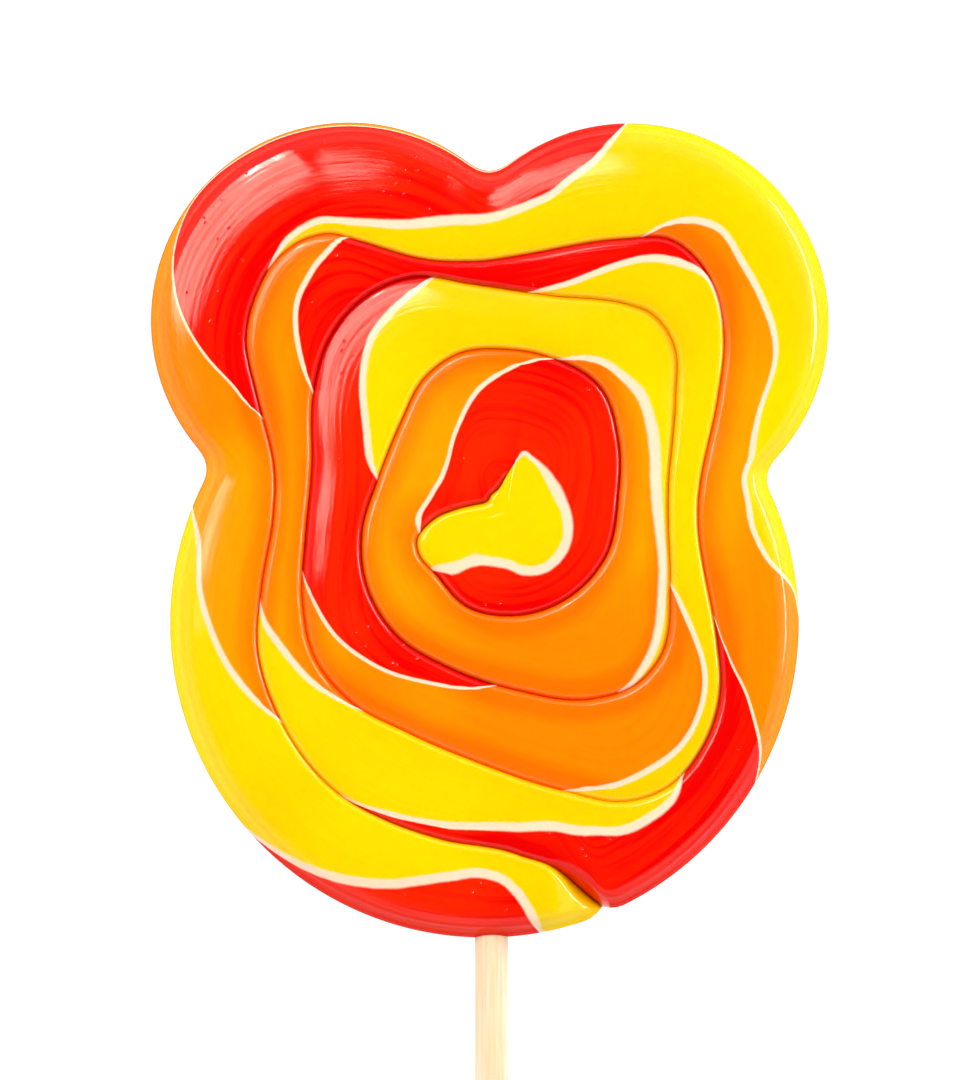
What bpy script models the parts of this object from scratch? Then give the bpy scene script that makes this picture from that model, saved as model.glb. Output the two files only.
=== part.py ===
"""Bear lollipop: a hard-candy rope coiled flat in a bear outline on a round stick.

The lollipop lies on its back.  X runs to the right, Y from the stick up to the
ears, Z from the back to the shown side.  The origin is on the back face, under
the middle of the candy.  Lengths are in millimetres until they meet MM.
"""

import math

import bmesh
import bpy

MM = 0.001

# Pressed thickness of the candy and the relief of its rope.
THICKNESS = 9.5
MID = THICKNESS / 2.0
CROWN_TOP = 0.4
CROWN_BACK = 0.0
GROOVE_TOP = 1.4
GROOVE_BACK = 0.8
SHOULDER_TOP = 1.5
SHOULDER_BACK = 1.6
EDGE_TOP = 2.9
EDGE_BACK = 3.2
ROPE_WIDTH = 7.0

# The coil turns clockwise about this point, from the rope's tail inwards.
COIL_X = 1.74
COIL_Y = 1.80
STEP = 6.0
TURN = 360.0
COIL_END = 1284.0
TAIL_TAPER = 15.0
TAIL_NOTCH = 0.9
NOTCH_HALF_WIDTH = 3.0
END_FADE = 26.0

# The rope's end closes over itself, ungrooved, around the heart of the coil.
HEART_SHARE = 0.45
HEART_BLEND = 60.0
HEART_CLOSE = 40.0

# Stick and the blind hole that holds it.
STICK_DIAMETER = 4.0
STICK_LENGTH = 180.0
STICK_TOP_Y = 11.5
STICK_CHAMFER = 0.3
STICK_SIDES = 24
STICK_GAP = 0.3
SOCKET_REACH = 70.0

# Bear outline: two ears and a body, each (x, y, radius), blended where they meet.
LEFT_EAR = (-17.1, 25.0, 23.75)
RIGHT_EAR = (16.5, 24.7, 23.95)
BODY = (-0.85, -11.3, 37.7)
EAR_BLEND = 3.4
WAIST_BLEND = 2.6
SMALLEST_RIM = 20.0
LARGEST_RIM = 70.0

# Way of the groove between the turns, from the tail on the rim to the coil's end.
GROOVE_WAY = [
    # first turn: under the chin, up the left side, over the ears, down the right side
    (13.3, -45.2), (11.2, -43.6), (8.9, -41.5), (3.3, -39.0), (-6.1, -37.1), (-12.7, -34.8),
    (-17.8, -32.0), (-25.5, -22.2), (-27.9, -14.5), (-27.5, -7.2), (-26.1, 1.2), (-26.2, 9.0),
    (-28.1, 16.4), (-29.3, 22.8), (-28.1, 28.1), (-25.9, 32.0), (-21.7, 34.9), (-18.9, 35.3),
    (-16.3, 34.6), (-10.0, 32.7), (-2.5, 32.0), (4.4, 32.9), (15.8, 34.7), (21.2, 34.7),
    (24.8, 32.0), (27.1, 27.7), (27.8, 23.3), (27.2, 16.4), (25.4, 7.9), (24.7, 1.2),
    (25.5, -5.2), (27.1, -14.2), (27.4, -18.6), (25.4, -25.8), (20.9, -31.0), (16.1, -32.6),
    # second turn
    (8.9, -31.4), (-0.5, -28.4), (-9.8, -24.5), (-17.2, -20.4), (-21.2, -15.4), (-22.6, -9.0),
    (-22.3, -1.0), (-21.5, 8.6), (-21.3, 16.4), (-19.6, 22.4), (-15.2, 27.7), (-9.5, 30.1),
    (-2.5, 29.3), (7.3, 27.9), (16.9, 26.7), (18.6, 26.1), (20.2, 24.8), (22.0, 21.5),
    (22.1, 16.4), (21.4, 7.9), (21.2, 0.0), (21.4, -6.6), (19.9, -15.8), (17.1, -18.7),
    (12.3, -20.3),
    # third turn
    (3.5, -19.4), (-4.6, -16.8), (-11.7, -12.3), (-14.8, -7.0), (-15.5, -0.8), (-13.6, 5.9),
    (-10.6, 13.3), (-7.9, 18.2), (-3.9, 21.0), (1.6, 21.5), (6.8, 20.6), (13.0, 17.0),
    (15.2, 10.8), (15.3, 4.9), (13.6, -3.5), (8.8, -8.5),
    # last half turn, hooked in to the rope's end
    (2.6, -10.4), (-2.8, -9.4), (-6.5, -5.6), (-8.8, -2.6), (-8.9, -1.3), (-7.1, 1.0),
    (-3.7, 2.5), (0.1, 4.2), (2.2, 7.0), (3.4, 8.6),
]


def curve(knots, x):
    """Smooth cubic through uneven knots."""
    i = 0
    while i < len(knots) - 2 and x >= knots[i + 1][0]:
        i += 1
    x0, y0 = knots[i]
    x1, y1 = knots[i + 1]
    gap = x1 - x0
    rise = (y1 - y0) / gap
    slope0 = rise
    slope1 = rise
    if i > 0:
        before = x0 - knots[i - 1][0]
        slope0 = ((y0 - knots[i - 1][1]) / before * gap + rise * before) / (gap + before)
    if i < len(knots) - 2:
        after = knots[i + 2][0] - x1
        slope1 = (rise * after + (knots[i + 2][1] - y1) / after * gap) / (gap + after)
    t = (x - x0) / gap
    near = (2.0 * t - 3.0) * t * t
    return (
        (near + 1.0) * y0 - near * y1
        + ((t - 2.0) * t + 1.0) * t * gap * slope0
        + (t - 1.0) * t * t * gap * slope1
    )


def smooth(x):
    x = min(1.0, max(0.0, x))
    return x * x * (3.0 - 2.0 * x)


def soft_union(first, second, blend):
    """Distance to two discs together, with a fillet where they meet."""
    part = min(1.0, max(0.0, 0.5 + 0.5 * (second - first) / blend))
    return second + (first - second) * part - blend * part * (1.0 - part)


def outline_distance(x, y):
    discs = []
    for centre_x, centre_y, radius in (LEFT_EAR, RIGHT_EAR, BODY):
        discs.append(math.hypot(x - centre_x, y - centre_y) - radius)
    ears = soft_union(discs[0], discs[1], EAR_BLEND)
    return soft_union(ears, discs[2], WAIST_BLEND)


def rim_radius(wound):
    """Radius of the bear outline, with a small notch where the tail tip lies."""
    angle = math.radians(TAIL_ANGLE - wound)
    low = SMALLEST_RIM
    high = LARGEST_RIM
    for _ in range(40):
        middle = 0.5 * (low + high)
        x = COIL_X + middle * math.cos(angle)
        y = COIL_Y + middle * math.sin(angle)
        if outline_distance(x, y) < 0.0:
            low = middle
        else:
            high = middle
    turned = wound % TURN
    off = min(turned, TURN - turned) / NOTCH_HALF_WIDTH
    return low - TAIL_NOTCH * max(0.0, 1.0 - off) ** 2


def groove_knots():
    """The groove's way as (degrees wound, radius) about the coil's centre."""
    knots = []
    wound = 0.0
    for x, y in GROOVE_WAY:
        angle = math.degrees(math.atan2(y - COIL_Y, x - COIL_X))
        wound += (TAIL_ANGLE - angle - wound + 0.5 * TURN) % TURN - 0.5 * TURN
        knots.append((wound, math.hypot(x - COIL_X, y - COIL_Y)))
    knots[0] = (0.0, rim_radius(0.0))
    return knots


TAIL_ANGLE = math.degrees(math.atan2(GROOVE_WAY[0][1] - COIL_Y, GROOVE_WAY[0][0] - COIL_X))
GROOVE = groove_knots()


def outer_radius(wound):
    if wound < TURN:
        return rim_radius(wound)
    return curve(GROOVE, wound - TURN)


def inner_radius(wound):
    if wound <= COIL_END:
        return curve(GROOVE, wound)
    outer = outer_radius(wound)
    base = HEART_SHARE * outer
    closing = smooth((wound - COIL_END - TURN + HEART_CLOSE) / HEART_CLOSE)
    opening = 1.0 - smooth((wound - COIL_END) / HEART_BLEND)
    base += (outer - base) * closing
    return base + (curve(GROOVE, COIL_END) - base) * opening


def squareness(radius, wound):
    """Share of a radial distance that lies square to a boundary there."""
    low = max(0.0, wound - 1.0)
    high = min(COIL_END + TURN, wound + 1.0)
    drift = (radius(high) - radius(low)) / math.radians(high - low)
    size = radius(wound)
    return size / math.hypot(size, drift)


def groove_depth(wound, depth, crown):
    """Depth of the groove: down to mid-thickness at the tail tip, gone at the coil's end."""
    tail = 1.0 - smooth(wound / TAIL_TAPER)
    end = smooth((COIL_END - wound) / END_FADE)
    return crown + (depth - crown) * end + (MID - depth) * tail


def groove_shoulder(wound, shoulder, edge):
    return shoulder + (edge - shoulder) * (1.0 - smooth(wound / TAIL_TAPER))


def fall(distance, reach):
    """Quarter-round drop from a crown to an edge: 0 at the reach, 1 at the edge."""
    if distance >= reach:
        return 0.0
    part = 1.0 - distance / reach
    return 1.0 - math.sqrt(max(0.0, 1.0 - part * part))


def rope_section(wound, crown, depth, shoulder, edge, rounds, flats):
    """Points across one turn, from its outer to its inner side, as (radius, drop)."""
    outer = outer_radius(wound)
    inner = inner_radius(wound)
    outer_square = squareness(outer_radius, wound)
    inner_square = squareness(inner_radius, wound)
    span = max(0.0, outer - inner)
    width = span * 0.5 * (outer_square + inner_square)
    if wound < TURN:
        outer_drop = MID
        outer_reach = edge / outer_square
    else:
        outer_drop = groove_depth(wound - TURN, depth, crown)
        outer_reach = groove_shoulder(wound - TURN, shoulder, edge) / outer_square
    heart = smooth((wound - COIL_END) / HEART_BLEND)
    inner_drop = crown
    inner_reach = shoulder / inner_square
    if wound <= COIL_END:
        inner_drop = groove_depth(wound, depth, crown)
        inner_reach = groove_shoulder(wound, shoulder, edge) / inner_square
    full = max(outer_reach + inner_reach, 0.001)
    outer_reach *= min(1.0, span / full)
    inner_reach *= min(1.0, span / full)
    sunk = 0.0
    if wound < TURN:
        sunk = (MID - crown) * (1.0 - math.sqrt(min(1.0, width / ROPE_WIDTH)))
    level = crown + sunk
    bulge = crown * min(1.0, width / ROPE_WIDTH)
    depths = []
    for k in range(rounds):
        depths.append(outer_reach * (1.0 - math.cos(0.5 * math.pi * k / rounds)))
    for k in range(flats + 1):
        depths.append(outer_reach + (span - outer_reach - inner_reach) * k / flats)
    for k in range(rounds - 1, -1, -1):
        depths.append(span - inner_reach * (1.0 - math.cos(0.5 * math.pi * k / rounds)))
    points = []
    for distance in depths:
        across = distance / span if span > 0.0 else 0.0
        coil_bulge = 1.0 - (2.0 * across - 1.0) ** 2
        heart_bulge = 1.0 - (1.0 - across) ** 2
        lift = bulge * ((1.0 - heart) * coil_bulge + heart * heart_bulge)
        drop = max(
            (outer_drop - level) * fall(distance, outer_reach),
            (inner_drop - level) * fall(span - distance, inner_reach),
        )
        if span <= 0.0:
            drop = outer_drop - level
        points.append((outer - distance, level - lift + drop))
    return points


def place(wound, radius, height):
    angle = math.radians(TAIL_ANGLE - wound)
    x = COIL_X + radius * math.cos(angle)
    y = COIL_Y + radius * math.sin(angle)
    return (x * MM, y * MM, height * MM)


def add_sheet(mesh, base, sign, crown, depth, shoulder, edge, rounds, flats):
    """Wind a flat grid into one face of the coil and close its heart with a fan."""
    steps = round((COIL_END + TURN) / STEP)
    across = 2 * rounds + flats
    sections = []
    for i in range(steps + 1):
        section = rope_section(i * STEP, crown, depth, shoulder, edge, rounds, flats)
        sections.append(section)
    grid = bmesh.ops.create_grid(mesh, x_segments=steps, y_segments=across, size=1.0)
    for vert in grid["verts"]:
        i = round((vert.co.x + 1.0) * 0.5 * steps)
        j = round((vert.co.y + 1.0) * 0.5 * across)
        radius, drop = sections[i][j]
        vert.co = place(i * STEP, radius, base - sign * drop)
    ring = round(TURN / STEP)
    first = steps - ring
    fan = bmesh.ops.create_circle(
        mesh, cap_ends=True, cap_tris=True, segments=ring, radius=1.0
    )
    for vert in fan["verts"]:
        if vert.co.length < 0.5:
            vert.co = place(0.0, 0.0, base)
            continue
        turned = math.degrees(math.atan2(vert.co.y, vert.co.x)) % TURN
        i = first + round(turned / STEP) % ring
        radius, drop = sections[i][across]
        vert.co = place(i * STEP, radius, base - sign * drop)


def new_object(name, mesh, collection):
    data = bpy.data.meshes.new(name)
    mesh.to_mesh(data)
    mesh.free()
    item = bpy.data.objects.new(name, data)
    collection.objects.link(item)
    return item


def add_rod(mesh, radius, low, high, sides):
    """Round rod along Y at mid-thickness."""
    rod = bmesh.ops.create_cone(
        mesh, cap_ends=True, segments=sides, radius1=radius * MM, radius2=radius * MM,
        depth=(high - low) * MM,
    )
    for vert in rod["verts"]:
        x, y, z = vert.co
        vert.co = (x, z + 0.5 * (low + high) * MM, -y + MID * MM)


def material(name, colour, roughness, coat):
    item = bpy.data.materials.new(name)
    item.use_nodes = True
    shader = item.node_tree.nodes["Principled BSDF"]
    shader.inputs["Base Color"].default_value = (*colour, 1.0)
    shader.inputs["Roughness"].default_value = roughness
    shader.inputs["Coat Weight"].default_value = coat
    return item


def build_candy(collection, cutters):
    mesh = bmesh.new()
    add_sheet(
        mesh, THICKNESS, 1.0, CROWN_TOP, GROOVE_TOP, SHOULDER_TOP, EDGE_TOP, rounds=3, flats=2
    )
    add_sheet(
        mesh, 0.0, -1.0, CROWN_BACK, GROOVE_BACK, SHOULDER_BACK, EDGE_BACK, rounds=2, flats=1
    )
    bmesh.ops.remove_doubles(mesh, verts=mesh.verts, dist=0.00001)
    bmesh.ops.recalc_face_normals(mesh, faces=mesh.faces)
    candy = new_object("candy", mesh, collection)

    hole = bmesh.new()
    radius = 0.5 * STICK_DIAMETER + STICK_GAP
    add_rod(hole, radius, -SOCKET_REACH, STICK_TOP_Y + STICK_GAP, STICK_SIDES)
    cutter = new_object("socket", hole, cutters)
    cutter.hide_render = True
    cutter.display_type = "WIRE"
    cut = candy.modifiers.new("socket", "BOOLEAN")
    cut.operation = "DIFFERENCE"
    cut.solver = "EXACT"
    cut.object = cutter

    candy.data.materials.append(material("candy", (1.0, 0.34, 0.0), 0.12, 1.0))
    return candy


def build_stick(collection):
    mesh = bmesh.new()
    radius = 0.5 * STICK_DIAMETER
    low = STICK_TOP_Y - STICK_LENGTH
    add_rod(mesh, radius, low, STICK_TOP_Y, STICK_SIDES)
    stick = new_object("stick", mesh, collection)
    edge = stick.modifiers.new("chamfer", "BEVEL")
    edge.width = STICK_CHAMFER * MM
    edge.segments = 1
    edge.limit_method = "ANGLE"
    edge.angle_limit = math.radians(60.0)
    stick.data.materials.append(material("stick", (0.86, 0.72, 0.48), 0.55, 0.0))
    return stick


def main():
    for item in list(bpy.data.objects):
        bpy.data.objects.remove(item, do_unlink=True)
    collection = bpy.data.collections.new("bear_lollipop")
    cutters = bpy.data.collections.new("cutters")
    bpy.context.scene.collection.children.link(collection)
    bpy.context.scene.collection.children.link(cutters)
    candy = build_candy(collection, cutters)
    stick = build_stick(collection)
    for item in (candy, stick):
        item.data.shade_smooth()
        item.data.set_sharp_from_angle(angle=math.radians(50.0))


main()
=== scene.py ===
"""Bear lollipop: a striped boiled-sugar rope, coiled and pressed into a bear outline.

Blender add-on layout, run as a script.  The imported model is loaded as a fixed
frame; each piece is made by an operator, and every size and colour that a user
would change is a property.
"""

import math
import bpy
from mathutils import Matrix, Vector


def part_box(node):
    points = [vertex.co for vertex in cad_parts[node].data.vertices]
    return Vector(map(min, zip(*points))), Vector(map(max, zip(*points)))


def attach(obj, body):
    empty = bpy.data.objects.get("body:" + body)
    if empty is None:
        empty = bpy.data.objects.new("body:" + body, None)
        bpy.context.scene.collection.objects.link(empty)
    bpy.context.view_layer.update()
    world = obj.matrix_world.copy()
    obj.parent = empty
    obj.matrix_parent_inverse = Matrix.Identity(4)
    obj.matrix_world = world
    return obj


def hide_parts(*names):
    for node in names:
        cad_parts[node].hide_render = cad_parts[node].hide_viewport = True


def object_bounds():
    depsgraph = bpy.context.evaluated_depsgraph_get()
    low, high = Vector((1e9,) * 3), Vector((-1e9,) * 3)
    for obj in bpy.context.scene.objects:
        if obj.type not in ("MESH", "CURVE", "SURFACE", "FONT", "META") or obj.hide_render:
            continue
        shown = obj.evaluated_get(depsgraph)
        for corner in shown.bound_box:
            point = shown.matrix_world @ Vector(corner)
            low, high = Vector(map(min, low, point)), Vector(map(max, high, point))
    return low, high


bl_info = {
    "name": "Bear Lollipop",
    "version": (1, 0, 0),
    "blender": (4, 5, 0),
    "location": "View3D > Sidebar > Lollipop",
    "description": "Builds a striped coiled candy on a wooden stick, and its studio",
    "category": "Add Mesh",
}

import bmesh
import bpy
from bpy.props import FloatProperty, FloatVectorProperty, IntProperty, PointerProperty
from mathutils import Vector

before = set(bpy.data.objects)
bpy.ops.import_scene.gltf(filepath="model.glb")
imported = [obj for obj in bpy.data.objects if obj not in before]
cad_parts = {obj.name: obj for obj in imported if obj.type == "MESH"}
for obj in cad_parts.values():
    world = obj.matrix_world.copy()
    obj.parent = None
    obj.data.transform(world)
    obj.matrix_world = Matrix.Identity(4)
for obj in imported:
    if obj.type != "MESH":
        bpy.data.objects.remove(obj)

MM = 0.001
TURN = 360.0

CAD_LOW, CAD_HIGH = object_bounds()
CANDY_LOW, CANDY_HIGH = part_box("candy")
STICK_LOW, STICK_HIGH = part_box("stick")

# Middle of the coil, about which it turns clockwise from the tail inwards, in millimetres.
COIL_X = 1.74
COIL_Y = 1.80

# Along the rope, in degrees wound from the tail: where the groove ends, the step of the
# mesh, and where the turns start to get flatter.
COIL_END = 1284.0
COIL_STEP = 1.0
FLATTER_FROM = 2.5 * TURN

# Degrees that it takes the groove to start and to fade out, the notch to close, the lean to
# change from turn to turn, and the heart to open and to close.
TAIL_TAPER = 8.0
END_FADE = 26.0
NOTCH_HALF_WIDTH = 3.0
LEAN_CHANGE = 60.0
HEART_BLEND = 70.0
HEART_CLOSE = 70.0

# Section of the rope: lean of the rim turn and of the last one against the others, share of
# a turn that leans, crown lost towards the heart, and the heart's hole as a share of its size.
RIM_LEAN = 2.5
LAST_FLATNESS = 0.6
LEAN_REACH = 0.85
HEART_FLATNESS = 0.65
HEART_SHARE = 0.12

# In millimetres: width of a usual turn, and of one that leans fully at the rim; depth of the
# notch beside the tail tip; place across the rope that the heart's middle takes; and the
# distance that is given where a turn has no groove or rim on that side.
ROPE_WIDTH = 7.0
WIDE_ROPE = 13.0
TAIL_NOTCH = 0.9
HEART_ARC = 3.0
FAR = 99.0

# Metres within which the points of the two faces become one.
WELD_DISTANCE = 0.000002

# Bear outline: two ears and a body, each (x, y, radius), blended where they meet.
LEFT_EAR = (-17.1, 25.0, 23.75)
RIGHT_EAR = (16.5, 24.7, 23.95)
BODY = (-0.85, -11.3, 37.7)
EAR_BLEND = 3.4
WAIST_BLEND = 2.6

# The rim is searched between these distances from the coil's middle, by halving.
SMALLEST_RIM = 20.0
LARGEST_RIM = 70.0
RIM_HALVINGS = 40

# Way of the groove between the turns, from the tail on the rim to the coil's end.
GROOVE_WAY = [
    # first turn: under the chin, up the left side, over the ears, down the right side
    (13.3, -45.2), (11.2, -43.6), (8.9, -41.5), (3.3, -39.0), (-6.1, -37.1), (-12.7, -34.8),
    (-17.8, -32.0), (-25.5, -22.2), (-27.9, -14.5), (-27.5, -7.2), (-26.1, 1.2), (-26.2, 9.0),
    (-28.1, 16.4), (-29.3, 22.8), (-28.1, 28.1), (-25.9, 32.0), (-21.7, 34.9), (-18.9, 35.3),
    (-16.3, 34.6), (-10.0, 32.7), (-2.5, 32.0), (4.4, 32.9), (15.8, 34.7), (21.2, 34.7),
    (24.8, 32.0), (27.1, 27.7), (27.8, 23.3), (27.2, 16.4), (25.4, 7.9), (24.7, 1.2),
    (25.5, -5.2), (27.1, -14.2), (27.4, -18.6), (25.4, -25.8), (20.9, -31.0), (16.1, -32.6),
    # second turn
    (8.9, -31.4), (-0.5, -28.4), (-9.8, -24.5), (-17.2, -20.4), (-21.2, -15.4), (-22.6, -9.0),
    (-22.3, -1.0), (-21.5, 8.6), (-21.3, 16.4), (-19.6, 22.4), (-15.2, 27.7), (-9.5, 30.1),
    (-2.5, 29.3), (7.3, 27.9), (16.9, 26.7), (18.6, 26.1), (20.2, 24.8), (22.0, 21.5),
    (22.1, 16.4), (21.4, 7.9), (21.2, 0.0), (21.4, -6.6), (19.9, -15.8), (17.1, -18.7),
    (12.3, -20.3),
    # third turn
    (3.5, -19.4), (-4.6, -16.8), (-11.7, -12.3), (-14.8, -7.0), (-15.5, -0.8), (-13.6, 5.9),
    (-10.6, 13.3), (-7.9, 18.2), (-3.9, 21.0), (1.6, 21.5), (6.8, 20.6), (13.0, 17.0),
    (15.2, 10.8), (15.3, 4.9), (13.6, -3.5), (8.8, -8.5),
    # last half turn, hooked in to the rope's end
    (2.6, -10.4), (-2.8, -9.4), (-6.5, -5.6), (-8.8, -2.6), (-8.9, -1.3), (-7.1, 1.0),
    (-3.7, 2.5), (0.1, 4.2), (2.2, 7.0), (3.4, 8.6),
]

# White lines between the colours.  The rope is twisted, so each one starts at the inner
# side of its turn (share across 1) and drifts to the outer side (share 0); the first one
# bows in from the rim.  Points are (degrees wound, share across).
WHITE_LINES = [
    # red to yellow, in the tail
    [(9, 0.0), (11, 0.4), (13, 0.6), (17, 0.71), (23, 0.63), (32, 0.38), (42, 0.16), (53, 0.0)],
    # yellow to orange
    [(61, 1.0), (67, 0.84), (78, 0.56), (89, 0.33), (100, 0.17), (105, 0.0)],
    # orange to red, then a thin orange rim over the left ear
    [(125.5, 1.0), (127, 0.87), (129, 0.76), (131, 0.58), (135, 0.33), (140, 0.15), (146, 0.045),
     (160, 0.03), (185, 0.025), (203, 0.0)],
    # red to yellow
    [(150, 1.0), (155, 0.94), (165, 0.84), (177, 0.73), (185, 0.63), (191, 0.53), (198, 0.54),
     (202, 0.51), (205, 0.41), (208, 0.29), (211, 0.0)],
    # yellow to orange
    [(220, 1.0), (222, 0.91), (225, 0.79), (230, 0.66), (237, 0.66), (243, 0.6), (253, 0.49),
     (262, 0.55), (267, 0.5), (272, 0.38), (277, 0.34), (289, 0.36), (294, 0.26), (298, 0.06),
     (303, 0.0)],
    # orange to red
    [(310, 1.0), (315, 0.91), (318, 0.79), (320, 0.64), (323, 0.44), (327, 0.15), (331, 0.0)],
    # red to yellow
    [(340, 1.0), (343, 0.86), (348, 0.76), (354, 0.69), (359, 0.69), (363, 0.6), (367, 0.48),
     (373, 0.33), (384, 0.18), (396, 0.07), (404, 0.0)],
    # yellow to orange
    [(410, 1.0), (417, 0.9), (424, 0.74), (430, 0.58), (436, 0.34), (440, 0.13), (444, 0.0)],
    # orange to red
    [(496, 1.0), (502, 0.72), (508, 0.5), (515, 0.37), (520, 0.23), (524, 0.0)],
    # red to yellow
    [(560, 1.0), (570, 0.72), (579, 0.41), (587, 0.24), (593, 0.06), (603, 0.0)],
    # yellow to orange
    [(667, 1.0), (673, 0.68), (681, 0.33), (692, 0.21), (705, 0.22), (715, 0.12), (722, 0.0)],
    # orange to red
    [(737, 1.0), (748, 0.83), (764, 0.65), (780, 0.48), (793, 0.29), (803, 0.1), (808, 0.0)],
    # red to yellow
    [(839, 1.0), (845, 0.84), (856, 0.67), (868, 0.46), (877, 0.33), (883, 0.28), (892, 0.14),
     (897, 0.0)],
    # yellow to orange
    [(932, 1.0), (943, 0.81), (955, 0.71), (967, 0.51), (980, 0.36), (997, 0.23),
     (1019, 0.11), (1044, 0.1), (1061, 0.0)],
    # orange to red
    [(1171, 1.0), (1184, 0.69), (1198, 0.57), (1215, 0.54), (1231, 0.51), (1247, 0.43),
     (1264, 0.26), (1279, 0.11), (1291, 0.0)],
    # red to yellow, around the heart
    [(1284, 1.0), (1289, 0.92), (1299, 0.9), (1312, 0.86), (1328, 0.75), (1345, 0.62),
     (1359, 0.54), (1373, 0.49), (1400, 0.42), (1421, 0.42), (1439, 0.5), (1448, 0.56),
     (1460, 0.59), (1471, 0.58), (1482, 0.53), (1490, 0.43), (1499, 0.19), (1508, 0.0)],
]

# Width of each white line against the property, at the outer and the inner side of its
# turn; before a red stripe they are thin.
LINE_WIDTHS = [
    (1.0, 1.0), (0.5, 0.7), (0.3, 0.45), (0.7, 1.2), (0.45, 0.9), (0.4, 0.4), (0.85, 1.05),
    (0.65, 0.65), (0.5, 0.75), (1.0, 0.6), (0.7, 0.8), (0.4, 0.4), (0.75, 0.95), (1.6, 0.6),
    (0.5, 0.5), (1.05, 0.95),
]
COLOURS = 3

# Drift of a line beyond its ends, in shares per degree; distance over which the stripe
# number changes at a line, and narrowest turn that lines are measured on, in millimetres;
# and how much thinner a line is at a groove and at the back.
OUTWARD_DRIFT = 0.02
COLOUR_EDGE = 2.0
NARROWEST = 3.0
SEAM_THINNING = 3.0
BACK_THINNING = 2.2

# White lines: solid core and soft edge against their half width, and how far they waver.
LINE_CORE = 0.6
LINE_EDGE = 1.25
LINE_WAVE = 0.16

# Millimetres from a groove or the rim: the painted shade of the dark seam, the painted shade
# that deepens the colour beside a groove, and the dull edge.
GROOVE_SEAM_SHADE = 0.5
RIM_SEAM_SHADE = 0.35
GROOVE_SHADE_FROM = 0.3
GROOVE_SHADE_TO = 3.8
DULL_FROM = 0.4
DULL_TO = 1.4

# Metres from the heart's middle between which the threads start to stand out.
CALM_TO = 0.004
THREADS_FROM = 0.009

# Pattern scales, per metre.
BUBBLE_CELLS = 700.0
BUBBLE_PATCHES = 150.0
CLOUDS = 25.0
WAVES = 70.0
LINE_WAVER = 900.0
WOOD_FIBRES = 2600.0
WOOD_BANDS = 500.0
WOOD_STRETCH = (1.0, 0.03, 1.0)

# Threads and scratches run with the rope: repeats per millimetre along and across it.
THREADS_ALONG = 0.05
THREADS_ACROSS = 1.1
SCRATCHES_ALONG = 0.1
SCRATCHES_ACROSS = 2.6
SCRATCHES_SEED = 7.0

# Shares of an effect, as greys.  The red is streaked, and only it has bubbles that reach
# the skin; the painted shade by the grooves is deepest on the orange.
NONE = (0.0, 0.0, 0.0)
FAINT = (0.12, 0.12, 0.12)
STREAKED = (0.7, 0.7, 0.7)
QUARTER = (0.25, 0.25, 0.25)
HALF = (0.5, 0.5, 0.5)
FULL = (1.0, 1.0, 1.0)

# Angles in degrees past which an edge stays sharp.
CANDY_CREASE = 55.0
STICK_CREASE = 50.0

# The rod swells a little along its length: share of its size, and two wavelengths in metres.
SWELL = 0.006
SHORT_SWELL = 0.011
LONG_SWELL = 0.029

# An edge that rises less than this, in metres, lies in one of the rod's ends.
LEVEL_EDGE = 0.000001

# Lamps, in metres: width and height, then place.
KEY_SIZE = (0.58, 0.5)
KEY_PLACE = (-0.34, 0.345, 0.88)
GLINT_SIZE = (0.04, 0.12)
GLINT_PLACE = (-0.3, 0.5, 0.8)
RIM_SIZE = (0.8, 0.14)
RIM_PLACE = (0.88, 0.28, 0.34)
PLAIN_LIGHT = (1.0, 1.0, 1.0)

# The sky gets brighter above the first height and darker above the third, as sines.
SKY_RISES = 0.3
SKY_BRIGHT_FROM = 0.5
SKY_BRIGHT_TO = 0.75
SKY_DARK_FROM = 0.93

SENSOR_HEIGHT = 36.0


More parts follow.
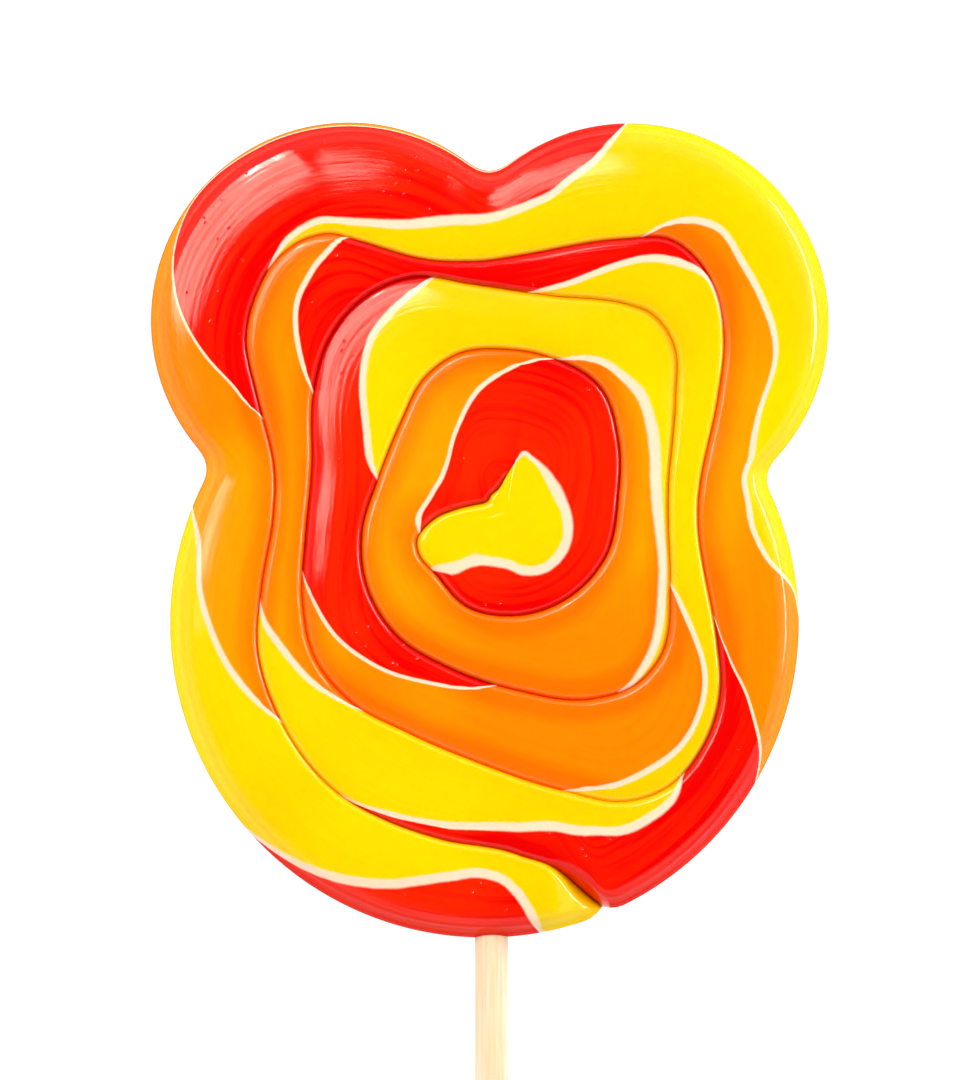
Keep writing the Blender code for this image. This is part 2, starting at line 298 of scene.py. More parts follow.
class CandyProperties(bpy.types.PropertyGroup):
    crown_top: FloatProperty(
        name="Crown", description="Rise of each turn's middle on the shown side, in mm",
        default=0.22, min=0.0,
    )
    lean: FloatProperty(
        name="Lean", description="Extra drop towards a turn's outer side, in mm",
        default=0.6, min=0.0,
    )
    groove_top: FloatProperty(
        name="Groove depth", description="Depth between the turns on the shown side, in mm",
        default=0.9, min=0.0,
    )
    groove_back: FloatProperty(
        name="Back groove depth", description="Depth between the turns at the back, in mm",
        default=0.8, min=0.0,
    )
    shoulder_top: FloatProperty(
        name="Shoulder", description="Reach of a turn's rounded side, shown side, in mm",
        default=0.75, min=0.1,
    )
    shoulder_back: FloatProperty(
        name="Back shoulder", description="Reach of a turn's rounded side, back, in mm",
        default=1.6, min=0.1,
    )
    edge_top: FloatProperty(
        name="Rim roundness", description="Reach of the rim's rounding, shown side, in mm",
        default=2.4, min=0.1,
    )
    edge_back: FloatProperty(
        name="Back rim roundness", description="Reach of the rim's rounding, back, in mm",
        default=3.2, min=0.1,
    )
    white_half: FloatProperty(
        name="White line half width", description="Half the widest white line, in mm",
        default=0.6, min=0.05,
    )
    yellow: FloatVectorProperty(
        name="Yellow", description="Clear yellow of the rope", subtype="COLOR", size=3,
        default=(1.0, 0.67, 0.0),
    )
    # The seam colours are painted shade: a darker colour in the grooves and along the rim's
    # edge.
    yellow_seam_shade: FloatVectorProperty(
        name="Yellow at seams", description="Yellow right beside a groove", subtype="COLOR",
        size=3, default=(1.0, 0.4, 0.0),
    )
    # The deep colours give the sugar's cloudy tone, threads and bubbles, and also the painted
    # shade beside the grooves.
    yellow_deep: FloatVectorProperty(
        name="Deep yellow", description="Yellow where the sugar is thicker", subtype="COLOR",
        size=3, default=(1.0, 0.57, 0.0),
    )
    orange: FloatVectorProperty(
        name="Orange", description="Clear orange of the rope", subtype="COLOR", size=3,
        default=(1.0, 0.35, 0.0),
    )
    orange_seam_shade: FloatVectorProperty(
        name="Orange at seams", description="Orange right beside a groove", subtype="COLOR",
        size=3, default=(0.95, 0.07, 0.0),
    )
    orange_deep: FloatVectorProperty(
        name="Deep orange", description="Orange where the sugar is thicker", subtype="COLOR",
        size=3, default=(1.0, 0.18, 0.0),
    )
    red: FloatVectorProperty(
        name="Red", description="Clear red of the rope", subtype="COLOR", size=3,
        default=(1.0, 0.02, 0.0),
    )
    red_seam_shade: FloatVectorProperty(
        name="Red at seams", description="Red right beside a groove", subtype="COLOR",
        size=3, default=(0.6, 0.0, 0.0),
    )
    red_deep: FloatVectorProperty(
        name="Deep red", description="Red where the sugar is thicker", subtype="COLOR",
        size=3, default=(0.78, 0.0, 0.0),
    )
    white: FloatVectorProperty(
        name="White", description="Pulled white sugar between the colours", subtype="COLOR",
        size=3, default=(1.0, 0.72, 0.55),
    )


class StickProperties(bpy.types.PropertyGroup):
    sides: IntProperty(name="Sides", description="Facets around the rod", default=48, min=8)
    rings: IntProperty(name="Rings", description="Sections along the rod", default=90, min=2)
    round_end: FloatProperty(
        name="Rounded end", description="Radius of the rod's sanded edge, in mm", default=0.35,
    )
    pale: FloatVectorProperty(
        name="Pale wood", description="Lightest fibres", subtype="COLOR", size=3,
        default=(0.96, 0.78, 0.6),
    )
    tan: FloatVectorProperty(
        name="Tan wood", description="Darkest fibres", subtype="COLOR", size=3,
        default=(0.8, 0.58, 0.33),
    )


class StageProperties(bpy.types.PropertyGroup):
    lens: FloatProperty(name="Lens", description="Focal length, in mm", default=400.0)
    view_height: FloatProperty(
        name="View height", description="Height of the view at the candy, in metres",
        default=0.12908, unit="LENGTH",
    )
    view_x: FloatProperty(
        name="View middle X", description="Middle of the view", default=-0.00018, unit="LENGTH",
    )
    view_y: FloatProperty(
        name="View middle Y", description="Middle of the view", default=-0.00132, unit="LENGTH",
    )
    floor_size: FloatProperty(
        name="Floor size", description="Side of the floor", default=6.0, unit="LENGTH",
    )
    floor_colour: FloatVectorProperty(
        name="Floor", description="Pale floor", subtype="COLOR", size=3,
        default=(0.3, 0.3, 0.3),
    )
    floor_glow: FloatProperty(name="Floor glow", description="Lit from below", default=0.9)
    key_power: FloatProperty(name="Key", description="Key light, in watts", default=6.3)
    key_colour: FloatVectorProperty(
        name="Key colour", description="Warm lamp", subtype="COLOR", size=3,
        default=(1.0, 0.97, 0.8),
    )
    glint_power: FloatProperty(name="Glint", description="Small light, in watts", default=0.8)
    rim_power: FloatProperty(name="Rim", description="Strip light, in watts", default=6.0)
    sky: FloatProperty(name="Sky", description="Even light from all round", default=0.8)
    sky_edge: FloatProperty(name="Sky edge", description="Light along the horizon", default=0.6)
    sky_top: FloatProperty(name="Sky top", description="Light from right above", default=0.03)


# ---------------------------------------------------------------- shape of the coil


def smooth(x):
    x = min(1.0, max(0.0, x))
    return x * x * (3.0 - 2.0 * x)


def curve(knots, x):
    """Smooth cubic through uneven knots."""
    i = 0
    while i < len(knots) - 2 and x >= knots[i + 1][0]:
        i += 1
    x0, y0 = knots[i]
    x1, y1 = knots[i + 1]
    gap = x1 - x0
    rise = (y1 - y0) / gap
    slope0 = rise
    slope1 = rise
    if i > 0:
        before = x0 - knots[i - 1][0]
        slope0 = ((y0 - knots[i - 1][1]) / before * gap + rise * before) / (gap + before)
    if i < len(knots) - 2:
        after = knots[i + 2][0] - x1
        slope1 = (rise * after + (knots[i + 2][1] - y1) / after * gap) / (gap + after)
    t = (x - x0) / gap
    near = (2.0 * t - 3.0) * t * t
    return (
        (near + 1.0) * y0 - near * y1
        + ((t - 2.0) * t + 1.0) * t * gap * slope0
        + (t - 1.0) * t * t * gap * slope1
    )


def soft_union(first, second, blend):
    """Distance to two discs together, with a fillet where they meet."""
    part = min(1.0, max(0.0, 0.5 + 0.5 * (second - first) / blend))
    return second + (first - second) * part - blend * part * (1.0 - part)


def outline_distance(x, y):
    discs = []
    for centre_x, centre_y, radius in (LEFT_EAR, RIGHT_EAR, BODY):
        discs.append(math.hypot(x - centre_x, y - centre_y) - radius)
    ears = soft_union(discs[0], discs[1], EAR_BLEND)
    return soft_union(ears, discs[2], WAIST_BLEND)


def rim_radius(wound):
    """Radius of the bear outline, with a small notch where the tail tip lies."""
    angle = math.radians(TAIL_ANGLE - wound)
    low = SMALLEST_RIM
    high = LARGEST_RIM
    for _ in range(RIM_HALVINGS):
        middle = 0.5 * (low + high)
        x = COIL_X + middle * math.cos(angle)
        y = COIL_Y + middle * math.sin(angle)
        if outline_distance(x, y) < 0.0:
            low = middle
        else:
            high = middle
    turned = wound % TURN
    off = min(turned, TURN - turned) / NOTCH_HALF_WIDTH
    return low - TAIL_NOTCH * max(0.0, 1.0 - off) ** 2


def groove_knots():
    """The groove's way as (degrees wound, radius) about the coil's centre."""
    knots = []
    wound = 0.0
    for x, y in GROOVE_WAY:
        angle = math.degrees(math.atan2(y - COIL_Y, x - COIL_X))
        wound += (TAIL_ANGLE - angle - wound + 0.5 * TURN) % TURN - 0.5 * TURN
        knots.append((wound, math.hypot(x - COIL_X, y - COIL_Y)))
    knots[0] = (0.0, rim_radius(0.0))
    return knots


TAIL_ANGLE = math.degrees(math.atan2(GROOVE_WAY[0][1] - COIL_Y, GROOVE_WAY[0][0] - COIL_X))
GROOVE = groove_knots()


def outer_radius(wound):
    if wound < TURN:
        return rim_radius(wound)
    return curve(GROOVE, wound - TURN)


def inner_radius(wound):
    if wound <= COIL_END:
        return curve(GROOVE, wound)
    outer = outer_radius(wound)
    base = HEART_SHARE * outer
    closing = smooth((wound - COIL_END - TURN + HEART_CLOSE) / HEART_CLOSE)
    opening = 1.0 - smooth((wound - COIL_END) / HEART_BLEND)
    base += (outer - base) * closing
    return base + (curve(GROOVE, COIL_END) - base) * opening


def squareness(radius, wound):
    """Share of a radial distance that lies square to a boundary there."""
    low = max(0.0, wound - 1.0)
    high = min(COIL_END + TURN, wound + 1.0)
    drift = (radius(high) - radius(low)) / math.radians(high - low)
    size = radius(wound)
    return size / math.hypot(size, drift)


def fall(distance, reach):
    """Quarter-round drop from a crown to an edge: 0 at the reach, 1 at the edge."""
    if distance >= reach:
        return 0.0
    part = 1.0 - distance / reach
    return 1.0 - math.sqrt(max(0.0, 1.0 - part * part))


class Face:
    """Relief of one face of the candy, in millimetres.

    middle is half the thickness, base the height of the flat face, and sign is 1 on the
    shown side and -1 at the back.  rounds and flats are steps across a turn's shoulders
    and across its crown.
    """

    def __init__(
        self, middle, base, sign, crown, lean, depth, shoulder, edge, rounds, flats
    ):
        self.middle = middle
        self.base = base
        self.sign = sign
        self.crown = crown
        self.lean = lean
        self.depth = depth
        self.shoulder = shoulder
        self.edge = edge
        self.rounds = rounds
        self.flats = flats
        self.across = 2 * rounds + flats

    def crown_at(self, wound):
        """The turns get flatter towards the heart."""
        return self.crown * (1.0 - HEART_FLATNESS * smooth((wound - FLATTER_FROM) / TURN))

    def groove_depth(self, wound):
        """Down to mid-thickness at the tail tip, gone at the coil's end."""
        tail = 1.0 - smooth(wound / TAIL_TAPER)
        end = smooth((COIL_END - wound) / END_FADE)
        depth = self.depth + 0.5 * self.lean * smooth((wound - TURN + LEAN_CHANGE) / LEAN_CHANGE)
        crown = self.crown_at(wound)
        return crown + (depth - crown) * end + (self.middle - self.depth) * tail

    def outward_lean(self, wound, width):
        """Extra drop of a turn's outer side: the rim turn and the inner turns lean out."""
        rim = 1.0 - smooth((wound - TURN + LEAN_CHANGE) / LEAN_CHANGE)
        rim *= min(1.0, width / WIDE_ROPE) ** 2
        third = smooth((wound - 2.0 * TURN + LEAN_CHANGE) / LEAN_CHANGE)
        last = smooth((wound - 3.0 * TURN + LEAN_CHANGE) / LEAN_CHANGE)
        lean = self.lean * (RIM_LEAN * rim + third - LAST_FLATNESS * last)
        return lean * min(1.0, width / ROPE_WIDTH) ** 2

    def groove_shoulder(self, wound):
        tail = 1.0 - smooth(wound / TAIL_TAPER)
        return self.shoulder + (self.edge - self.shoulder) * tail

    def section(self, wound):
        """Points across one turn, outer to inner: (radius, height, (to groove, to rim))."""
        outer = outer_radius(wound)
        inner = inner_radius(wound)
        outer_square = squareness(outer_radius, wound)
        inner_square = squareness(inner_radius, wound)
        span = max(0.0, outer - inner)
        width = span * 0.5 * (outer_square + inner_square)
        on_rim = wound < TURN
        outer_drop = self.middle if on_rim else self.groove_depth(wound - TURN)
        outer_reach = self.edge if on_rim else self.groove_shoulder(wound - TURN)
        outer_reach /= outer_square
        in_coil = wound <= COIL_END
        crown = self.crown_at(wound)
        inner_drop = self.groove_depth(wound) if in_coil else crown
        inner_reach = self.groove_shoulder(wound) if in_coil else self.shoulder
        inner_reach /= inner_square
        full = max(outer_reach + inner_reach, 0.001)
        outer_reach *= min(1.0, span / full)
        inner_reach *= min(1.0, span / full)
        sunk = 0.0
        if on_rim:
            thin = 1.0 - math.sqrt(min(1.0, width / ROPE_WIDTH))
            sunk = (self.middle - crown) * thin
        level = crown + sunk
        bulge = crown * min(1.0, width / ROPE_WIDTH)
        lean = self.outward_lean(wound, width)
        heart = smooth((wound - COIL_END) / HEART_BLEND)
        depths = []
        for k in range(self.rounds):
            depths.append(outer_reach * (1.0 - math.cos(0.5 * math.pi * k / self.rounds)))
        for k in range(self.flats + 1):
            depths.append(outer_reach + (span - outer_reach - inner_reach) * k / self.flats)
        for k in range(self.rounds - 1, -1, -1):
            turned = 1.0 - math.cos(0.5 * math.pi * k / self.rounds)
            depths.append(span - inner_reach * turned)
        points = []
        for distance in depths:
            across = distance / span if span > 0.0 else 0.0
            coil_bulge = 1.0 - (2.0 * across - 1.0) ** 2
            heart_bulge = 1.0 - (1.0 - across) ** 2
            lift = bulge * ((1.0 - heart) * coil_bulge + heart * heart_bulge)
            lift -= lean * max(0.0, 1.0 - across / LEAN_REACH) ** 2
            drop = max(
                (outer_drop - level - lean) * fall(distance, outer_reach),
                (inner_drop - level) * fall(span - distance, inner_reach),
            )
            if span <= 0.0:
                drop = outer_drop - level
                lift = 0.0
            height = self.base - self.sign * (level - lift + drop)
            to_outer = FAR if on_rim else distance * outer_square
            to_inner = (span - distance) * inner_square if in_coil else FAR
            to_rim = distance * outer_square if on_rim else FAR
            points.append((outer - distance, height, (min(to_outer, to_inner), to_rim)))
        return points


def place(wound, radius, height):
    angle = math.radians(TAIL_ANGLE - wound)
    x = COIL_X + radius * math.cos(angle)
    y = COIL_Y + radius * math.sin(angle)
    return Vector((x, y, height)) * MM


# ---------------------------------------------------------------- stripes of the rope


def line_share(line, wound):
    """Where a white line runs across its turn; beyond its ends it drifts on, out of sight."""
    if wound < line[0][0]:
        way = 1.0 if line[0][1] > 0.5 else -1.0
        return line[0][1] + way * OUTWARD_DRIFT * (line[0][0] - wound)
    if wound > line[-1][0]:
        return line[-1][1] - OUTWARD_DRIFT * (wound - line[-1][0])
    return curve(line, wound)


def lines_at(wound):
    """All white lines at a place on the rope: (number, share, millimetres per share).

    The millimetres are square to the line.
    """
    span = max(NARROWEST, outer_radius(wound) - inner_radius(wound))
    middle = outer_radius(wound) - 0.5 * span
    found = []
    for number, line in enumerate(WHITE_LINES, start=1):
        share = line_share(line, wound)
        low = max(line[0][0], wound - 1.0)
        high = min(line[-1][0], wound + 1.0)
        slope = 0.0
        if high > low:
            drift = (line_share(line, high) - line_share(line, low)) * span
            slope = drift / (middle * math.radians(high - low))
        found.append((number, share, span / math.hypot(1.0, slope)))
    return found


def seam_thinning(share):
    """White lines get thin where they meet a groove or the rim."""
    at_seam = 1.0 - math.sin(math.pi * min(1.0, max(0.0, share)))
    return 1.0 + SEAM_THINNING * at_seam ** 4


def stripe_at(lines, share):
    """Stripe number on the shown side, and the signed distance to the nearest white line.

    Lines closer to the outer side have lower numbers.  The distance changes sign from
    line to line, so that it runs smoothly through the middle of each colour.
    """
    number, here, scale = min(lines, key=lambda item: abs(share - item[1]) * item[2])
    distance = (share - here) * scale
    phase = number + 0.5 * max(-1.0, min(1.0, distance / COLOUR_EDGE))
    outer_width, inner_width = LINE_WIDTHS[number - 1]
    width = outer_width + (inner_width - outer_width) * min(1.0, max(0.0, share))
    sign = 1.0 if number % 2 == 0 else -1.0
    return phase, sign * distance * seam_thinning(share) / width


def back_stripe(outer_phase, inner_phase, share, width):
    """The colours go on round the side and the back, so that three of them make one round."""
    rise = outer_phase + COLOURS - inner_phase
    phase = inner_phase + (1.0 - share) * rise
    number = round(phase)
    sign = 1.0 if number % 2 == 0 else -1.0
    thinning = BACK_THINNING * seam_thinning(share)
    return phase, sign * (phase - number) * thinning * width / rise


def rope_lengths(steps):
    """Distance along the middle of the rope up to each step, in millimetres."""
    lengths = [0.0]
    for i in range(steps):
        wound = (i + 0.5) * COIL_STEP
        middle = 0.5 * (outer_radius(wound) + inner_radius(wound))
        lengths.append(lengths[-1] + middle * math.radians(COIL_STEP))
    return lengths


def arc_lengths(section):
    """Distance over the surface from a turn's outer side to each point of its section."""
    arcs = [0.0]
    for (radius, height, _), (next_radius, next_height, _) in zip(section, section[1:]):
        arcs.append(arcs[-1] + math.hypot(next_radius - radius, next_height - height))
    return arcs


def add_sheet(mesh, face, layers):
    """Wind a flat grid into one face of the coil and close its heart with a fan."""
    steps = round((COIL_END + TURN) / COIL_STEP)
    lengths = rope_lengths(steps)
    sections = []
    patterns = []
    for i in range(steps + 1):
        wound = i * COIL_STEP
        section = face.section(wound)
        lines = lines_at(wound)
        outer = section[0][0]
        span = max(0.001, outer - section[-1][0])
        arcs = arc_lengths(section)
        girth = max(0.001, arcs[-1])
        outer_phase = stripe_at(lines, 0.0)[0]
        inner_phase = stripe_at(lines, 1.0)[0]
        pattern = []
        for (radius, _, edges), arc in zip(section, arcs):
            if face.sign > 0.0:
                stripe = stripe_at(lines, (outer - radius) / span)
            else:
                stripe = back_stripe(outer_phase, inner_phase, arc / girth, girth)
            pattern.append((stripe, (lengths[i], arc), edges))
        sections.append(section)
        patterns.append(pattern)

    grid = bmesh.ops.create_grid(mesh, x_segments=steps, y_segments=face.across, size=1.0)
    spots = {}
    for vert in grid["verts"]:
        i = round((vert.co.x + 1.0) * 0.5 * steps)
        j = round((vert.co.y + 1.0) * 0.5 * face.across)
        spots[vert] = patterns[i][j]
        radius, height, _ = sections[i][j]
        vert.co = place(i * COIL_STEP, radius, height)

    ring = round(TURN / COIL_STEP)
    first = steps - ring
    fan = bmesh.ops.create_circle(
        mesh, cap_ends=True, cap_tris=True, segments=ring, radius=1.0
    )
    heart_stripe = (len(WHITE_LINES) + 0.5, COLOUR_EDGE)
    for vert in fan["verts"]:
        if vert.co.length < 0.5:
            spots[vert] = (heart_stripe, (lengths[-1], HEART_ARC), (FAR, FAR))
            vert.co = place(0.0, 0.0, face.base)
            continue
        turned = math.degrees(math.atan2(vert.co.y, vert.co.x)) % TURN
        i = first + round(turned / COIL_STEP) % ring
        spots[vert] = patterns[i][face.across]
        radius, height, _ = sections[i][face.across]
        vert.co = place(i * COIL_STEP, radius, height)

    faces = {item for vert in spots for item in vert.link_faces}
    for item in faces:
        for loop in item.loops:
            for layer, value in zip(layers, spots[loop.vert]):
                loop[layer].uv = value


# ---------------------------------------------------------------- materials


class Nodes:
    """Short calls for wiring a material."""

    def __init__(self, name):
        self.material = bpy.data.materials.new(name)
        self.material.use_nodes = True
        self.tree = self.material.node_tree
        self.shader = self.tree.nodes["Principled BSDF"]

    def node(self, kind, **settings):
        item = self.tree.nodes.new(kind)
        for key, value in settings.items():
            setattr(item, key, value)
        return item

    def link(self, source, target):
        self.tree.links.new(source, target)

    def feed(self, value, target):
        if isinstance(value, bpy.types.NodeSocket):
            self.link(value, target)
        else:
            target.default_value = value

    def math(self, operation, first, second=0.0, third=0.0, clamp=False):
        item = self.node("ShaderNodeMath", operation=operation, use_clamp=clamp)
        self.feed(first, item.inputs[0])
        self.feed(second, item.inputs[1])
        self.feed(third, item.inputs[2])
        return item.outputs[0]

    def fade(self, value, low, high, out_low=0.0, out_high=1.0):
        item = self.node("ShaderNodeMapRange", interpolation_type="SMOOTHSTEP", clamp=True)
        self.feed(value, item.inputs["Value"])
        self.feed(low, item.inputs["From Min"])
        self.feed(high, item.inputs["From Max"])
        self.feed(out_low, item.inputs["To Min"])
        self.feed(out_high, item.inputs["To Max"])
        return item.outputs["Result"]

    def blend(self, factor, first, second):
        item = self.node("ShaderNodeMix", data_type="RGBA", blend_type="MIX")
        self.feed(factor, item.inputs["Factor"])
        self.feed(first, item.inputs["A"])
        self.feed(second, item.inputs["B"])
        return item.outputs["Result"]

    def uv(self, name):
        item = self.node("ShaderNodeUVMap", uv_map=name)
        parts = self.node("ShaderNodeSeparateXYZ")
        self.link(item.outputs["UV"], parts.inputs[0])
        return parts.outputs["X"], parts.outputs["Y"]

    def vector(self, x, y, z):
        item = self.node("ShaderNodeCombineXYZ")
        self.feed(x, item.inputs["X"])
        self.feed(y, item.inputs["Y"])
        self.feed(z, item.inputs["Z"])
        return item.outputs[0]

    def noise(self, vector, scale, detail=2.0, roughness=0.5):
        item = self.node("ShaderNodeTexNoise")
        self.feed(vector, item.inputs["Vector"])
        item.inputs["Scale"].default_value = scale
        item.inputs["Detail"].default_value = detail
        item.inputs["Roughness"].default_value = roughness
        return item.outputs["Fac"]

    def bump(self, height, strength, distance, under=None, invert=False):
        item = self.node("ShaderNodeBump", invert=invert)
        item.inputs["Strength"].default_value = strength
        item.inputs["Distance"].default_value = distance
        self.link(height, item.inputs["Height"])
        if under is not None:
            self.link(under, item.inputs["Normal"])
        return item.outputs["Normal"]

    def set_shader(self, values):
        for name, value in values.items():
            self.shader.inputs[name].default_value = value

    def steps(self, value, colours):
        """Hard-edged colour bands, evenly spaced."""
        item = self.node("ShaderNodeValToRGB")
        ramp = item.color_ramp
        ramp.interpolation = "CONSTANT"
        while len(ramp.elements) < len(colours):
            ramp.elements.new(0.5)
        for k, colour in enumerate(colours):
            ramp.elements[k].position = k / len(colours)
            ramp.elements[k].color = (*colour, 1.0)
        self.link(value, item.inputs["Fac"])
        return item.outputs["Color"]


def candy_material(sizes):
    nodes = Nodes("striped_sugar")
    phase, line = nodes.uv("stripes")
    along, across = nodes.uv("rope")
    groove, rim = nodes.uv("edges")
    body = nodes.node("ShaderNodeTexCoord").outputs["Object"]

    band = nodes.math("FRACT", nodes.math("DIVIDE", phase, float(COLOURS)))
    clear = nodes.steps(band, (sizes.red, sizes.yellow, sizes.orange))
    deep = nodes.steps(band, (sizes.red_deep, sizes.yellow_deep, sizes.orange_deep))
    # painted shade colours for the grooves and the rim's edge
    seam_shade = nodes.steps(band, (sizes.red_seam_shade, sizes.yellow_seam_shade, sizes.orange_seam_shade))

    # tiny bubbles under the skin of the red
    cells = nodes.node("ShaderNodeTexVoronoi", feature="F1")
    nodes.link(body, cells.inputs["Vector"])
    cells.inputs["Scale"].default_value = BUBBLE_CELLS
    bubbles = nodes.fade(cells.outputs["Distance"], 0.05, 0.17, 1.0, 0.0)
    patches = nodes.fade(nodes.noise(body, BUBBLE_PATCHES), 0.5, 0.56)
    bubbles = nodes.math("MULTIPLY", bubbles, patches)
    bubbles = nodes.math("MULTIPLY", bubbles, nodes.steps(band, (FULL, NONE, NONE)))

    # pulled sugar: faint threads along the rope and softer clouds; beside the grooves, painted
    # shade deepens the colour
    thread_place = nodes.vector(
        nodes.math("MULTIPLY", along, THREADS_ALONG),
        nodes.math("MULTIPLY", across, THREADS_ACROSS),
        0.0,
    )
    threads = nodes.noise(thread_place, 1.0, detail=4.0, roughness=0.6)
    clouds = nodes.noise(body, CLOUDS, detail=2.0)
    streaks = nodes.steps(band, (STREAKED, FAINT, FAINT))
    groove_shade_share = nodes.steps(band, (HALF, QUARTER, FULL))
    depth = nodes.math("MULTIPLY", nodes.fade(threads, 0.42, 0.7), streaks)
    depth = nodes.math("ADD", depth, nodes.fade(clouds, 0.42, 0.6, 0.0, 0.55))
    # painted shade: the colour deepens towards the grooves
    painted_groove_shade = nodes.math("MULTIPLY", nodes.fade(groove, GROOVE_SHADE_FROM, GROOVE_SHADE_TO, 0.8, 0.0), groove_shade_share)
    depth = nodes.math("ADD", depth, painted_groove_shade)
    depth = nodes.math("ADD", depth, bubbles, clamp=True)
    colour = nodes.blend(depth, clear, deep)
    # painted shade: a darker seam colour in each groove and along the rim's edge
    colour = nodes.blend(nodes.fade(groove, 0.0, GROOVE_SEAM_SHADE, 0.75, 0.0), colour, seam_shade)
    colour = nodes.blend(nodes.fade(rim, 0.0, RIM_SEAM_SHADE, 0.8, 0.0), colour, seam_shade)

    # white lines, with a soft edge that wavers a little
    waver = nodes.noise(body, LINE_WAVER)
    waver = nodes.math("MULTIPLY_ADD", waver, LINE_WAVE, -0.5 * LINE_WAVE)
    off_line = nodes.math("ADD", nodes.math("ABSOLUTE", line), waver)
    half = sizes.white_half
    white = nodes.fade(off_line, half * LINE_CORE, half * LINE_EDGE, 1.0, 0.0)
    colour = nodes.blend(white, colour, (*sizes.white, 1.0))
    nodes.link(colour, nodes.shader.inputs["Base Color"])

    # the bubbles dent the skin, the threads barely stand out and end before the heart, and
    # the poured sugar is wavy
    from_heart = nodes.node("ShaderNodeVectorMath", operation="DISTANCE")
    nodes.link(body, from_heart.inputs[0])
    from_heart.inputs[1].default_value = (COIL_X * MM, COIL_Y * MM, CANDY_HIGH.z)
    smoothed = nodes.fade(from_heart.outputs["Value"], CALM_TO, THREADS_FROM)
    relief = nodes.math("MULTIPLY", threads, smoothed)
    waves = nodes.noise(body, WAVES, detail=1.0)
    skin = nodes.bump(bubbles, strength=0.6, distance=0.1 * MM, invert=True)
    skin = nodes.bump(relief, strength=0.35, distance=0.1 * MM, under=skin)
    skin = nodes.bump(waves, strength=0.25, distance=1.0 * MM, under=skin)
    nodes.link(skin, nodes.shader.inputs["Normal"])
    nodes.link(skin, nodes.shader.inputs["Coat Normal"])

    # fine scratches along the rope dull the gloss, and the rim is duller too
    scratch_place = nodes.vector(
        nodes.math("MULTIPLY", along, SCRATCHES_ALONG),
        nodes.math("MULTIPLY", across, SCRATCHES_ACROSS),
        SCRATCHES_SEED,
    )
    scratches = nodes.noise(scratch_place, 1.0, detail=3.0, roughness=0.6)
    dulled = nodes.fade(scratches, 0.4, 0.65, 1.0, 0.55)
    gloss = nodes.math("MULTIPLY", nodes.fade(rim, DULL_FROM, DULL_TO, 0.12, 1.0), dulled)
    nodes.link(gloss, nodes.shader.inputs["Coat Weight"])

    nodes.set_shader({
        "Roughness": 0.5,
        "IOR": 1.49,
        "Specular IOR Level": 0.0,
        "Coat Roughness": 0.1,
        "Coat IOR": 1.53,
        "Subsurface Weight": 0.6,
        "Subsurface Radius": (1.0, 0.3, 0.1),
        "Subsurface Scale": 0.002,
    })
    return nodes.material


def stick_material(sizes):
    nodes = Nodes("pale_bamboo")
    body = nodes.node("ShaderNodeTexCoord").outputs["Object"]
    stretch = nodes.node("ShaderNodeMapping")
    nodes.link(body, stretch.inputs["Vector"])
    stretch.inputs["Scale"].default_value = WOOD_STRETCH
    fibres = nodes.noise(stretch.outputs["Vector"], WOOD_FIBRES, detail=4.0, roughness=0.65)
    bands = nodes.noise(stretch.outputs["Vector"], WOOD_BANDS, detail=2.0)
    grain = nodes.math("MULTIPLY_ADD", bands, 0.5, nodes.math("MULTIPLY", fibres, 0.6))
    colour = nodes.blend(nodes.fade(grain, 0.4, 0.75), (*sizes.pale, 1.0), (*sizes.tan, 1.0))
    nodes.link(colour, nodes.shader.inputs["Base Color"])
    nodes.link(nodes.fade(fibres, 0.3, 0.7, 0.42, 0.62), nodes.shader.inputs["Roughness"])
    grooves = nodes.bump(fibres, strength=0.3, distance=0.15 * MM)
    nodes.link(grooves, nodes.shader.inputs["Normal"])
    return nodes.material


def floor_material(colour, glow):
    nodes = Nodes("pale_floor")
    nodes.set_shader({
        "Base Color": (*colour, 1.0),
        "Roughness": 0.9,
        "Specular IOR Level": 0.0,
        "Emission Color": (1.0, 1.0, 1.0, 1.0),
        "Emission Strength": glow,
    })
    return nodes.material


# ---------------------------------------------------------------- pieces


def new_piece(name, mesh, material):
    data = bpy.data.meshes.new(name)
    mesh.to_mesh(data)
    mesh.free()
    data.materials.append(material)
    piece = bpy.data.objects.new(name, data)
    bpy.context.scene.collection.objects.link(piece)
    return piece


class LOLLIPOP_OT_candy(bpy.types.Operator):
    """Wind and press the striped candy"""

    bl_idname = "lollipop.candy"
    bl_label = "Add Candy"

    def execute(self, context):
        sizes = context.scene.lollipop_candy
        thickness = (CANDY_HIGH.z - CANDY_LOW.z) / MM
        middle = 0.5 * thickness
        top = Face(
            middle, thickness, 1.0, sizes.crown_top, sizes.lean, sizes.groove_top,
            sizes.shoulder_top, sizes.edge_top, rounds=8, flats=12,
        )
        back = Face(
            middle, 0.0, -1.0, 0.0, 0.0, sizes.groove_back, sizes.shoulder_back,
            sizes.edge_back, rounds=5, flats=6,
        )
        mesh = bmesh.new()
        layers = [mesh.loops.layers.uv.new(name) for name in ("stripes", "rope", "edges")]
        add_sheet(mesh, top, layers)
        add_sheet(mesh, back, layers)
        bmesh.ops.remove_doubles(mesh, verts=mesh.verts, dist=WELD_DISTANCE)
        bmesh.ops.recalc_face_normals(mesh, faces=mesh.faces)
        piece = new_piece("candy_rope", mesh, candy_material(sizes))
        piece.data.shade_smooth()
        piece.data.set_sharp_from_angle(angle=math.radians(CANDY_CREASE))
        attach(piece, "root")
        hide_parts("candy")
        return {"FINISHED"}


